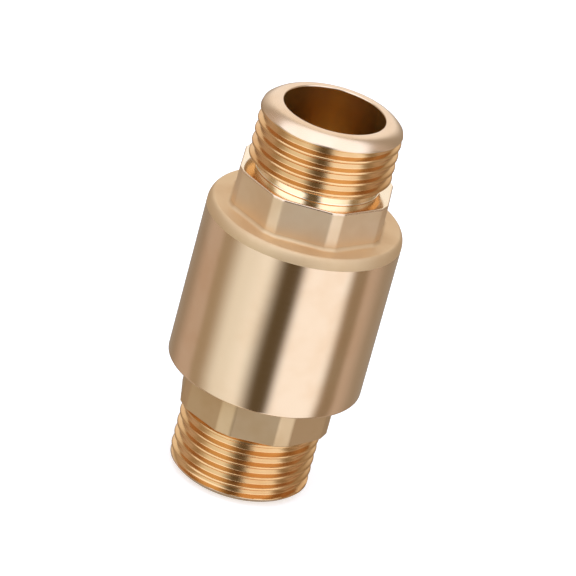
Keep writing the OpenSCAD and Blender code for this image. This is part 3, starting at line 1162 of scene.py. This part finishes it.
@dataclass
class Guide:
    """A cast brass spider and the PTFE bush pressed into its hub.

    Attributes:
        node: the frame's node for the spider.
        bush_node: the frame's node for the bush.
        rim: inner and outer radius of the rim.
        rim_h: height of the rim.
        spoke_h: height of the spokes.
        tall_r: radius to which a taller root of each spoke reaches, 0 for none.
        hub_h: height of the hub.
        hub_drop: how far the hub reaches under the rim.
    """

    node: str
    bush_node: str
    rim: Point
    rim_h: float
    spoke_h: float
    hub_h: float
    tall_r: float = 0.0
    hub_drop: float = 0.0
    hub: Point = (3.02, 3.8)
    bush: tuple[float, float, float] = (2.04, 3.0, 3.6)
    flange_h: float = 0.6

    def build(self) -> list[bpy.types.Object]:
        """Casts the spider and turns its bush."""
        low = span(self.node)[0]
        rim_low = low + self.hub_drop
        columns = 96
        parts = [
            turned(f"{self.node}_{name}", self._tube(r, z), (CAST_BRASS,), columns)
            for name, r, z in (
                ("rim", self.rim, (rim_low, rim_low + self.rim_h)),
                ("hub", self.hub, (low, low + self.hub_h)),
            )
        ]
        casting = self._merge(f"{self.node}_cast", parts)
        low_top = rim_low + min(self.spoke_h, self.rim_h)
        Spokes(self.hub[0] + 0.4, self.rim[0] + 0.5, rim_low, low_top).join(casting, CAST_BRASS)
        if self.tall_r:
            tall_top = rim_low + self.spoke_h
            Spokes(self.hub[0] + 0.45, self.tall_r, rim_low + 0.3, tall_top).join(casting, CAST_BRASS)
        smooth(casting, 32)
        return [
            place(casting, self.node, Body.CASING, Slot.SATIN_BRASS),
            place(self._bush(), self.bush_node, Body.CASING, Slot.PTFE),
        ]

    @staticmethod
    def _tube(radii: Point, heights: Point) -> list[Corner]:
        """Section of a plain ring with softened edges."""
        (inner, outer), (low, high) = radii, heights
        soft = 0.14
        section = ((inner, low), (outer, low), (outer, high), (inner, high))
        return [Corner(r, z, soft) for r, z in section]

    @staticmethod
    def _merge(name: str, parts: Sequence[bpy.types.Object]) -> bpy.types.Object:
        """Joins separate shells into one object."""
        vertices: list[tuple[float, float, float]] = []
        faces: list[tuple[int, ...]] = []
        for part in parts:
            start = len(vertices)
            vertices += [tuple(v.co) for v in part.data.vertices]
            faces += [tuple(start + i for i in p.vertices) for p in part.data.polygons]
            old = part.data
            bpy.data.objects.remove(part)
            bpy.data.meshes.remove(old)
        mesh = bpy.data.meshes.new(name)
        mesh.from_pydata(vertices, [], faces)
        mesh.materials.append(CAST_BRASS.material())
        piece = bpy.data.objects.new(name, mesh)
        bpy.context.scene.collection.objects.link(piece)
        return piece

    def _bush(self) -> bpy.types.Object:
        """Turns the bush, with its thrust flange at the lower end."""
        low, high = span(self.bush_node)
        bore, wall, flange = self.bush
        corners = [
            Corner(bore, low, 0.12),
            Corner(flange, low, 0.12),
            Corner(flange, low + self.flange_h, 0.06),
            Corner(wall, low + self.flange_h, 0.03),
            Corner(wall, high, 0.1),
            Corner(bore, high, 0.1),
        ]
        return turned(f"{self.bush_node}_turned", corners, (WAXY_PTFE,), 64)


@dataclass
class Poppet:
    """The sliding assembly: stem, disc, seal, clamping washer and nut."""

    stem_r: float = 2.0
    collar_r: float = 3.2
    clearance: float = 0.02
    disc_r: float = 9.4
    hub_r: float = 4.3
    seal_r: float = 8.8
    washer_r: float = 6.2

    def build(self) -> list[bpy.types.Object]:
        """Makes every piece that rises with the poppet."""
        return [
            place(self._stem(), "stem", Body.POPPET, Slot.STAINLESS),
            place(self._disc(), "poppet_disc", Body.POPPET, Slot.TURNED_BRASS),
            place(self._seal(), "seat_seal", Body.POPPET, Slot.RUBBER),
            place(self._washer(), "seal_washer", Body.POPPET, Slot.STAINLESS),
            place(self._nut(), "stem_nut", Body.POPPET, Slot.STAINLESS),
        ]

    def _stem(self) -> bpy.types.Object:
        """Turned stem with chamfered tips and a stop collar; it reaches its own axis at both tips."""
        low, high = span("stem")
        tip, hub_top, collar_top = 0.5, span("poppet_disc")[1], 33.8
        r = self.stem_r
        outline = [
            (0.0, low, 0),
            (0.3, low, 0),
            (r - tip - 0.04, low, 0),
            (r - tip, low + 0.01, 0),
            (r - 0.06, low + tip - 0.06, 0),
            (r, low + tip, 0),
            (r, low + tip + 0.05, 0),
            (r, hub_top - 0.05, 0),
            (r, hub_top, 0),
            (self.collar_r - 0.1, hub_top, 0),
            (self.collar_r - 0.03, hub_top + 0.03, 0),
            (self.collar_r, hub_top + 0.1, 0),
            (self.collar_r, collar_top - 0.3, 0),
            (self.collar_r - 0.04, collar_top - 0.2, 0),
            (self.collar_r - 0.22, collar_top - 0.02, 0),
            (self.collar_r - 0.3, collar_top, 0),
            (r + 0.12, collar_top, 0),
            (r + 0.03, collar_top + 0.03, 0),
            (r, collar_top + 0.12, 0),
            (r, high - tip - 0.05, 0),
            (r, high - tip, 0),
            (r - 0.06, high - tip + 0.06, 0),
            (r - tip, high - 0.01, 0),
            (r - tip - 0.04, high, 0),
            (0.3, high, 0),
            (0.0, high, 0),
        ]
        return loft("stem_turned", even_angles(64), plain_rings(outline, 64), (TURNED_STEEL,))

    def _disc(self) -> bpy.types.Object:
        """Brass disc with a rim that holds the seal and a hub that centres the spring."""
        low, high = span("poppet_disc")
        bore = self.stem_r + self.clearance
        corners = [
            Corner(bore, low, 0.05),
            Corner(3.5, low, 0.08),
            Corner(3.5, low + 1.8, 0.04),
            Corner(self.seal_r + self.clearance, low + 1.8, 0.05),
            Corner(self.seal_r + self.clearance, low + 0.8, 0.08),
            Corner(self.disc_r, low + 0.8, 0.12),
            Corner(self.disc_r, low + 3.6, 0.12),
            Corner(self.disc_r - 0.6, low + 4.2, 0.1),
            Corner(self.hub_r, low + 4.2, 0.12),
            Corner(self.hub_r, high, 0.18),
            Corner(bore, high, 0.08),
        ]
        return turned("poppet_turned", corners, (FACED_BRASS_PAINTED_HIGHLIGHT,), 128)

    def _seal(self) -> bpy.types.Object:
        """Flat rubber ring with softly moulded edges and a slight crown between them."""
        low, high = span("seat_seal")
        corners = [
            Corner(3.52, low, 0.1),
            Corner(6.4, low, 0.3),
            Corner(self.seal_r, low, 0.22),
            Corner(self.seal_r, high, 0.1),
            Corner(3.52, high, 0.1),
        ]
        return turned("seat_seal_moulded", corners, (NITRILE,), 128)

    def _washer(self) -> bpy.types.Object:
        """Stamped washer, rounded on its lower edge where the die entered."""
        low, high = span("seal_washer")
        bore = self.stem_r + self.clearance
        corners = [
            Corner(bore, low, 0.12),
            Corner(self.washer_r, low, 0.25),
            Corner(self.washer_r, high, 0.05),
            Corner(bore, high, 0.05),
        ]
        return turned("seal_washer_stamped", corners, (DRAWN_STEEL,), 96)

    def _nut(self) -> bpy.types.Object:
        """Hexagon nut, its corners turned off at both faces."""
        low, high = span("stem_nut")
        prism = Prism(6, 3.5, 0.12, 0.0)
        angles = prism.angles(12, 4)
        count = len(angles)
        bore = self.stem_r + self.clearance
        upper = prism.free_end(angles, high, 1, 3.45, 0, 0.06)
        lower = prism.free_end(angles, low, -1, 3.45, 0, 0.06)
        upper_mouth = [(2.42, high, 0), (2.36, high, 0), (bore, high - 0.34, 0)]
        lower_mouth = [(bore, low + 0.34, 0), (2.36, low, 0), (2.42, low, 0)]
        inner = upper_mouth + lower_mouth
        rings = upper + plain_rings(inner, count) + list(reversed(lower))
        return loft("stem_nut_milled", angles, rings, (TURNED_STEEL,))


@dataclass
class ReturnSpring:
    """The closed-end coil spring and the washer that it pushes against."""

    coil_r: float = 4.9
    wire_r: float = 0.3
    turns: float = 5.0
    lift: float = 5.0
    washer: Point = (3.62, 6.2)
    joint: str = "poppet_lift"
    fixed_z: float = 38.9

    def winder(self) -> Tree:
        """Builds the node group that winds the wire, with one closed turn at each end."""
        tree = Tree("coil_spring_winder")
        for name in ("Coil Radius", "Wire Radius", "Turns", "Low", "High"):
            tree.take(name)
        tree.take("Steps", "NodeSocketInt")
        tree.take("Material", "NodeSocketMaterial")
        line = tree.node(
            "GeometryNodeMeshLine", {"Count": tree.read("Steps"), "Offset": (0.0, 0.0, 0.001)}
        ).outputs["Mesh"]
        index = tree.node("GeometryNodeInputIndex").outputs["Index"]
        last = tree.math("SUBTRACT", tree.read("Steps"), 1.0)
        turn = tree.math("MULTIPLY", tree.math("DIVIDE", index, last), tree.read("Turns"))
        angle = tree.math("MULTIPLY", turn, math.tau)
        first = tree.math("MINIMUM", turn, 1.0)
        last_start = tree.math("SUBTRACT", tree.read("Turns"), 1.0)
        final = tree.math("MAXIMUM", tree.math("SUBTRACT", turn, last_start), 0.0)
        open_turns = tree.math("SUBTRACT", tree.read("Turns"), 2.0)
        middle = tree.math("DIVIDE", tree.math("SUBTRACT", turn, 1.0), open_turns)
        middle = tree.math("MAXIMUM", tree.math("MINIMUM", middle, 1.0), 0.0)
        closed = tree.math("MULTIPLY", tree.read("Wire Radius"), 2.0)
        rise = tree.math("SUBTRACT", tree.math("SUBTRACT", tree.read("High"), tree.read("Low")), closed)
        ends = tree.math("MULTIPLY", tree.math("ADD", first, final), tree.read("Wire Radius"))
        height = tree.math("ADD", tree.math("ADD", tree.read("Low"), ends), tree.math("MULTIPLY", middle, rise))
        place_on = tree.node(
            "ShaderNodeCombineXYZ",
            {
                "X": tree.math("MULTIPLY", tree.math("COSINE", angle), tree.read("Coil Radius")),
                "Y": tree.math("MULTIPLY", tree.math("SINE", angle), tree.read("Coil Radius")),
                "Z": height,
            },
        ).outputs["Vector"]
        wound = tree.node(
            "GeometryNodeSetPosition", {"Geometry": line, "Position": place_on}
        ).outputs["Geometry"]
        curve = tree.node("GeometryNodeMeshToCurve", {"Mesh": wound}).outputs["Curve"]
        section = tree.node(
            "GeometryNodeCurvePrimitiveCircle", {"Radius": tree.read("Wire Radius"), "Resolution": 16}
        )
        wire = tree.node(
            "GeometryNodeCurveToMesh",
            {"Curve": curve, "Profile Curve": section.outputs["Curve"], "Fill Caps": True},
        ).outputs["Mesh"]
        tree.end(wire, tree.read("Material"))
        return tree

    def build(self) -> list[bpy.types.Object]:
        """Winds the spring and stamps its washer."""
        low, high = span("return_spring")
        mesh = bpy.data.meshes.new("return_spring_wound")
        spring = bpy.data.objects.new("return_spring_wound", mesh)
        bpy.context.scene.collection.objects.link(spring)
        self.winder().bake(
            spring,
            {
                "Coil Radius": self.coil_r * MM,
                "Wire Radius": self.wire_r * MM,
                "Turns": self.turns,
                "Low": (low + self.wire_r) * MM,
                "High": (high - self.wire_r) * MM,
                "Steps": 301,
                "Material": DRAWN_STEEL.material(),
            },
        )
        if signed_volume(spring.data) < 0:
            spring.data.flip_normals()
        smooth(spring, 60)
        place(spring, "return_spring", Body.CASING, Slot.SPRING)
        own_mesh(spring)
        w_low, w_high = span("spring_seat_washer")
        inner, outer = self.washer
        corners = [
            Corner(inner, w_low, 0.15),
            Corner(outer, w_low, 0.18),
            Corner(outer, w_high, 0.05),
            Corner(inner, w_high, 0.05),
        ]
        washer = turned("spring_seat_washer_stamped", corners, (DRAWN_STEEL,), 96)
        return [spring, place(washer, "spring_seat_washer", Body.CASING, Slot.STAINLESS)]


# The two small pressings keep their frame geometry and only take a finish.
KEPT_PIECES = {"guide_retaining_ring": DRAWN_STEEL, "lock_washer": DRAWN_STEEL}


def finish_kept(nodes: dict[str, bpy.types.Object]) -> None:
    """Gives the pieces that keep their frame geometry their material.

    Args:
        nodes: the frame's nodes by name.
    """
    for name, finish in KEPT_PIECES.items():
        mesh = nodes[name].data
        mesh.materials.clear()
        mesh.materials.append(finish.material())


# ------------------------------------------------------------------------------------------------------ studio


@dataclass(frozen=True)
class Studio:
    """Pale floor, soft light all round with dark gaps in it, and the camera.

    Attributes:
        distance: from the camera to the valve's middle, in metres.
        elevation: height of the camera over the horizon, in degrees.
        lean: how far the valve leans to the right in the picture, in degrees.
        lens: focal length, in mm on a 36 mm sensor.
        aim: the point that the camera looks at, in mm.
    """

    distance: float = 0.70
    elevation: float = 25.8
    lean: float = 15.283
    lens: float = 301.5
    aim: tuple[float, float, float] = (0.21, 0.0, 31.2)

    def build(self) -> None:
        """Sets up the camera, the floor and the light."""
        self._camera()
        self._floor()
        self._sky()
        scene = bpy.context.scene
        scene.view_settings.view_transform = "Standard"
        scene.view_settings.look = "None"

    def _camera(self) -> None:
        """Creates the camera, rolled so that the valve leans."""
        rise = math.radians(self.elevation)
        lean = math.radians(self.lean)
        ahead = Vector((0, math.cos(rise), -math.sin(rise)))
        level = Vector((1, 0, 0))
        upright = Vector((0, math.sin(rise), math.cos(rise)))
        right = level * math.cos(lean) + upright * math.sin(lean)
        up = upright * math.cos(lean) - level * math.sin(lean)
        turn = Matrix((right, up, -ahead)).transposed().to_4x4()
        data = bpy.data.cameras.new("studio_camera")
        data.lens = self.lens
        data.sensor_width = 36.0
        data.clip_start = 0.01
        data.clip_end = 50.0
        camera = bpy.data.objects.new("studio_camera", data)
        camera.matrix_world = Matrix.Translation(Vector(self.aim) * MM - ahead * self.distance) @ turn
        bpy.context.scene.collection.objects.link(camera)
        bpy.context.scene.camera = camera

    def _floor(self) -> None:
        """Lays a pale floor that glows a little, isn't mirrored in the metal and lets light up through it."""
        half = 4.0
        mesh = bpy.data.meshes.new("pale_floor")
        mesh.from_pydata(
            [(-half, -half, 0), (half, -half, 0), (half, half, 0), (-half, half, 0)], [], [(0, 1, 2, 3)]
        )
        material = bpy.data.materials.new("pale_floor_paint")
        material.use_nodes = True
        tree = material.node_tree
        tree.nodes.clear()
        shader = add(
            tree,
            "ShaderNodeBsdfPrincipled",
            {
                "Base Color": linear("#f4f4f3"),
                "Roughness": 0.9,
                "Specular IOR Level": 0.0,
                "Emission Color": linear("#ffffff"),
                "Emission Strength": 0.42,
            },
        )
        add(tree, "ShaderNodeOutputMaterial", {"Surface": shader.outputs["BSDF"]})
        mesh.materials.append(material)
        floor = bpy.data.objects.new("pale_floor", mesh)
        floor.visible_glossy = False
        floor.visible_shadow = False
        bpy.context.scene.collection.objects.link(floor)

    def _sky(self) -> None:
        """Surrounds the valve with the room's walls and hangs the soft boxes and flags in front of them."""
        world = bpy.data.worlds.new("studio")
        world.use_nodes = True
        bpy.context.scene.world = world
        tree = world.node_tree
        tree.nodes.clear()
        way = add(tree, "ShaderNodeTexCoord").outputs["Generated"]
        parts = add(tree, "ShaderNodeSeparateXYZ", {"Vector": way}).outputs
        back = add(tree, "ShaderNodeMath", {0: parts["Y"], 1: -1.0}, operation="MULTIPLY").outputs[0]
        azimuth = add(tree, "ShaderNodeMath", {0: parts["X"], 1: back}, operation="ARCTAN2").outputs[0]
        share = add(
            tree,
            "ShaderNodeMapRange",
            {"Value": azimuth, "From Min": -math.pi, "From Max": math.pi, "To Min": 0.0, "To Max": 1.0},
        ).outputs["Result"]
        walls = add(tree, "ShaderNodeValToRGB", {"Fac": share})
        self._ramp(walls.color_ramp, WALL_LIGHT)
        light = walls.outputs["Color"]
        for box in SOFT_BOXES:
            light = box.hang(tree, way, light)
        shine = add(tree, "ShaderNodeBackground", {"Color": light, "Strength": 1.0})
        add(tree, "ShaderNodeOutputWorld", {"Surface": shine.outputs["Background"]})

    @staticmethod
    def _ramp(ramp: bpy.types.ColorRamp, stops: Sequence[tuple[float, tuple[float, float, float]]]) -> None:
        """Fills a colour ramp with stops of position and linear colour."""
        ramp.interpolation = "EASE"
        while len(ramp.elements) > 1:
            ramp.elements.remove(ramp.elements[-1])
        ramp.elements[0].position = stops[0][0]
        ramp.elements[0].color = (*stops[0][1], 1.0)
        for position, colour in stops[1:]:
            ramp.elements.new(position).color = (*colour, 1.0)


def around(degrees: float) -> float:
    """Place on the wall light's ramp of an azimuth measured from the front, positive to the right."""
    return 0.5 + degrees / 360


@dataclass(frozen=True)
class SoftBox:
    """A round soft box, or a dark round flag, seen from the valve.

    Attributes:
        azimuth: degrees from the front, positive to the right.
        elevation: degrees over the horizon.
        spread: half its angular width, in degrees.
        edge: angle over which its edge fades, in degrees.
        light: its linear colour and brightness.
    """

    azimuth: float
    elevation: float
    spread: float
    edge: float
    light: tuple[float, float, float]

    def hang(
        self, tree: bpy.types.NodeTree, way: bpy.types.NodeSocket, behind: bpy.types.NodeSocket
    ) -> bpy.types.NodeSocket:
        """Adds the box to the world's light.

        Args:
            tree: the world's node tree.
            way: direction socket.
            behind: light that the box hangs in front of.

        Returns:
            The combined light.
        """
        turn, rise = math.radians(self.azimuth), math.radians(self.elevation)
        centre = (math.sin(turn) * math.cos(rise), -math.cos(turn) * math.cos(rise), math.sin(rise))
        nearness = add(
            tree, "ShaderNodeVectorMath", {0: way, 1: centre}, operation="DOT_PRODUCT"
        ).outputs["Value"]
        inside = add(
            tree,
            "ShaderNodeMapRange",
            {
                "Value": nearness,
                "From Min": math.cos(math.radians(self.spread + self.edge / 2)),
                "From Max": math.cos(math.radians(max(0.0, self.spread - self.edge / 2))),
            },
            interpolation_type="SMOOTHSTEP",
        ).outputs["Result"]
        return add(
            tree, "ShaderNodeMix", {"Factor": inside, 6: behind, 7: (*self.light, 1.0)}, data_type="RGBA"
        ).outputs[2]


# Linear light of the walls. The gaps are the dark bands that polished brass mirrors between two boxes.
RIGHT_BOX = (1.14, 1.22, 1.38)
LEFT_BOX = (1.01, 1.08, 1.14)
FRONT_GAP = (0.105, 0.078, 0.04)
LEFT_GAP = (0.4, 0.34, 0.26)
RIGHT_GAP = (0.32, 0.265, 0.2)
ROOM = (0.55, 0.47, 0.42)
DIM_ROOM = (0.36, 0.31, 0.25)

WALL_LIGHT = [
    (around(-178), DIM_ROOM),
    (around(-140), DIM_ROOM),
    (around(-112), ROOM),
    (around(-98), ROOM),
    (around(-88), LEFT_GAP),
    (around(-82), LEFT_GAP),
    (around(-52), (0.9, 0.95, 0.97)),
    (around(-28), LEFT_BOX),
    (around(-3.4), FRONT_GAP),
    (around(8.4), FRONT_GAP),
    (around(22), RIGHT_BOX),
    (around(66), RIGHT_BOX),
    (around(82), RIGHT_GAP),
    (around(92), RIGHT_GAP),
    (around(104), ROOM),
    (around(135), DIM_ROOM),
    (around(178), DIM_ROOM),
]
# A lamp behind, a large box overhead, and two dark flags in front that carry the front gap upwards.
SOFT_BOXES = (
    SoftBox(184, 28, 30, 20, (1.0, 0.97, 0.95)),
    SoftBox(-6, 60, 55, 8, (1.35, 1.47, 1.75)),
    SoftBox(3, 16, 15, 10, (0.12, 0.085, 0.045)),
    SoftBox(3, 39, 13, 8, (0.12, 0.08, 0.035)),
)


def main() -> None:
    """Builds the valve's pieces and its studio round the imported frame."""
    logging.basicConfig(level=logging.INFO, format="%(name)s: %(message)s")
    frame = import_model()
    log.info("frame has %d nodes", len(frame["nodes"]))
    finish_kept(frame["nodes"])
    groups = (
        ValveBody(),
        InletCap(),
        Seat(),
        Guide("inlet_guide", "inlet_guide_bush", (7.5, 8.78), 4.0, 3.0, 4.0, hub_drop=0.4),
        Guide("outlet_guide", "outlet_guide_bush", (8.0, 11.9), 1.4, 2.8, 3.6, tall_r=7.3),
        Poppet(),
        ReturnSpring(),
    )
    for group in groups:
        for piece in group.build():
            log.info("%s has %d faces", piece.name, len(piece.data.polygons))
    Studio().build()


if __name__ == "__main__":
    main()
